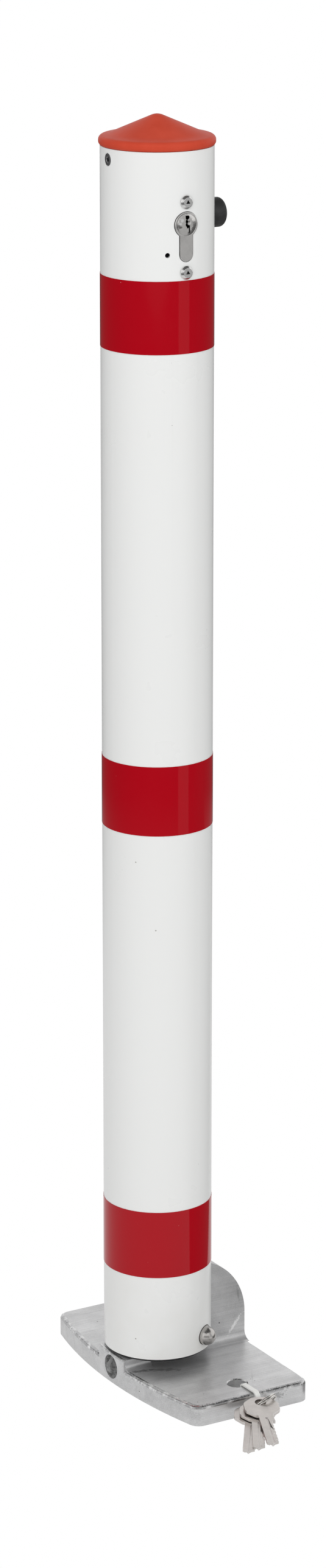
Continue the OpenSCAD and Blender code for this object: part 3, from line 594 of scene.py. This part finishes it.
# %% [markdown]
# ## Nylon and rubber
#
# The insert and the rod's guides are black moulded nylon with a faint sheen and grey scuffs, and
# the buffer is matte rubber with a dusty bloom. The tie is clear nylon that lets light through.

# %% Black nylon and rubber
SCUFF = 0.08


def moulded_black(name, color, rough, bloom):
    plastic = Finish(name, color, rough, Specular_IOR_Level=0.4)
    cloud = plastic.effect(blotches, Per_Metre=120.0, From=0.4, To=0.75)
    scuffs = plastic.effect(specks, Per_Metre=520.0, Radius=0.16, Share=0.12)
    base = plastic.mix(cloud, color, tuple(c + bloom for c in color))
    plastic.set("Base Color", plastic.mix(scuffs, base, tuple(c + SCUFF for c in color)))
    fine = plastic.effect(blotches, Per_Metre=1800.0, From=0.2, To=0.8)
    plastic.set("Roughness", plastic.ranged(fine, rough - 0.06, rough + 0.08))
    plastic.bump(fine, 0.00003)
    return plastic


nylon_black = moulded_black("black_nylon", (0.022, 0.022, 0.024), 0.42, 0.012)
buffer_rubber = moulded_black("buffer_rubber", (0.020, 0.020, 0.021), 0.6, 0.022)
print("black nylon and rubber:", len(nylon_black.tree.nodes), "nodes each")

# %% Natural nylon
tie_nylon = Finish("clear_nylon", (0.86, 0.87, 0.84), 0.3, Subsurface_Weight=0.3,
                   Subsurface_Scale=0.0006, Subsurface_Radius=(1, 1, 1))
cloud = tie_nylon.effect(blotches, Per_Metre=300.0, From=0.3, To=0.7)
tie_nylon.set("Base Color", tie_nylon.mix(cloud, (0.82, 0.83, 0.80), (0.90, 0.91, 0.88)))
tie_nylon.set("Roughness", tie_nylon.ranged(cloud, 0.25, 0.4))
washer_nylon = Finish("washer_nylon", (0.72, 0.71, 0.66), 0.45)
cloud = washer_nylon.effect(blotches, Per_Metre=200.0, From=0.3, To=0.7)
washer_nylon.set("Base Color", washer_nylon.mix(cloud, (0.68, 0.67, 0.61), (0.76, 0.75, 0.70)))
print("natural nylon:", len(tie_nylon.tree.nodes), "and", len(washer_nylon.tree.nodes), "nodes")


# %% [markdown]
# ## Finishes on the CAD nodes
#
# Most pieces show their CAD mesh as it is, so that they only need a material.

# %% Finishes on the CAD nodes
def dress(finish, *nodes):
    for node in nodes:
        materials = NODES[node].data.materials
        materials.clear()
        materials.append(finish.material)


FINISHES = (
    (coat, "tube"),
    (foil, "lower_band", "middle_band", "upper_band"),
    (cap_plastic, "cap"),
    (nylon_black, "lower_rod_guide", "upper_rod_guide"),
    (washer_nylon, "thrust_washers"),
    (sawn, "lock_carrier"),
    (zinc, "locking_rod", "rod_driver", "rod_nut", "buffer_nut", "buffer_stud"),
    (dull_steel, "rod_collar", "lock_cam"),
    (spring_steel, "rod_spring"),
    (black_steel, "cylinder_grub_screw"),
    (buffer_rubber, "rubber_buffer"),
    (pin_steel, "hinge_pin", "hinge_pin_screw"),
    (tie_nylon, "cable_tie"),
    (wire, "split_ring"),
)
for finish, *nodes in FINISHES:
    dress(finish, *nodes)
print("dressed:", sum(len(nodes) for _, *nodes in FINISHES), "nodes")

# %% [markdown]
# ## Finished copies of CAD pieces
#
# A CAD solid has knife edges, and a real edge is rounded or broken and catches the light. A
# finished copy is the CAD piece's mesh with its loose triangles joined, flat faces merged and sharp
# edges bevelled. The bevel's faces can take a second, shinier finish. The copy replaces the node.

# %% Bevelled copies
JOIN_DISTANCE = 0.00001
FLAT_ANGLE, BEVEL_ANGLE, SHARP_ANGLE = math.radians(0.4), math.radians(34), math.radians(50)


def finished_copy(node, body, finish, width_mm, edge_finish=None, parts=()):
    """parts: pairs of a finish and a test of a face's centre in millimetres and its normal."""
    dress(finish, node)
    bm = bmesh.new()
    bm.from_mesh(NODES[node].data)
    bmesh.ops.remove_doubles(bm, verts=bm.verts, dist=JOIN_DISTANCE)
    bmesh.ops.dissolve_limit(bm, angle_limit=FLAT_ANGLE, verts=bm.verts, edges=bm.edges)
    sharp = [e for e in bm.edges if e.is_manifold and e.calc_face_angle() > BEVEL_ANGLE]
    made = bmesh.ops.bevel(bm, geom=sharp, offset=width_mm * MM, offset_type="OFFSET", segments=2,
                           affect="EDGES", profile=0.5, material=-1, clamp_overlap=True, loop_slide=True)
    rounded = set(made["faces"])
    for face in bm.faces:
        face.smooth = True
        face.material_index = 1 if edge_finish and face in rounded else 0
        centre = face.calc_center_median() / MM
        for index, (_, holds) in enumerate(parts):
            if holds(centre, face.normal):
                face.material_index = 2 + index
    mesh = bpy.data.meshes.new(node + "_finished")
    bm.to_mesh(mesh)
    bm.free()
    mesh.set_sharp_from_angle(angle=SHARP_ANGLE)
    for each in (finish, edge_finish or finish, *(part for part, _ in parts)):
        mesh.materials.append(each.material)
    piece = bpy.data.objects.new(node + "_finished", mesh)
    scene.collection.objects.link(piece)
    # Large faces keep their own normals, so that a flat face stays flat beside its rounded edges
    steady = piece.modifiers.new("steady_faces", "WEIGHTED_NORMAL")
    steady.keep_sharp = True
    steady.weight = 50
    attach(piece, body)
    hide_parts(node)
    print(f"{node}: {len(sharp)} sharp edges rounded by {width_mm} mm, {len(mesh.polygons)} faces")


# %% Faces that take a finish of their own
PLATE_BEVEL_Z, STOP_BEVEL_Z = (12.2, 15.1), (20.6, 22.7)
SEAT_Z, SEAT_REACH = 11.7, 8.9
SEAT_MOUTH_X, SEAT_FLOOR_X = -19, -22
RECESS_DEPTH = 0.12


def on_bevel(centre, normal):
    """The slanted bevels along the top of the plate and of the stop."""
    at_height = any(low < centre.z < high for low, high in (PLATE_BEVEL_Z, STOP_BEVEL_Z))
    return at_height and 0.15 < normal.z < 0.95


def in_stop_seat(centre, normal):
    """The wall of the stop's round seat, whose normals point at its axis, and its floor."""
    out_y, out_z = centre.y, centre.z - SEAT_Z
    reach = math.hypot(out_y, out_z)
    wall = out_y * normal.y + out_z * normal.z < -0.5 * reach
    return centre.x < SEAT_MOUTH_X and reach < SEAT_REACH and (wall or centre.x > SEAT_FLOOR_X)


def in_recess(node, radius_mm):
    """Faces near a screw's axis that lie deeper than its face."""
    axis, face_y = middle(node) / MM, front(node) / MM

    def deep(centre, normal):
        near_axis = math.hypot(centre.x - axis.x, centre.z - axis.z) < radius_mm
        return near_axis and centre.y > face_y + RECESS_DEPTH

    return deep


# %% Make the copies
SOCKET_R = 2.4

finished_copy("base_casting", "base", sanded, 0.5, rubbed,
              parts=((rubbed, on_bevel), (cast_skin, in_stop_seat)))
finished_copy("hinge_insert", "post", nylon_black, 0.25)
for screw in ("upper_lock_screw", "lower_lock_screw"):
    # The faces deep in the socket take the painted shade
    recess = ((shadowed, in_recess(screw, SOCKET_R)),)
    finished_copy(screw, "post", zinc, 0.15, bright_nickel, parts=recess)
finished_copy("cap_screw", "post", dull_steel, 0.12, bright_nickel)
finished_copy("cylinder_body", "post", nickel, 0.25, bright_nickel)
finished_copy("cylinder_plug", "plug", plug_nickel_painted_reflections, 0.3, bright_nickel)
for key in ("key_1", "key_2", "key_3"):
    finished_copy(key, "base", key_metal, 0.2, bright_nickel)
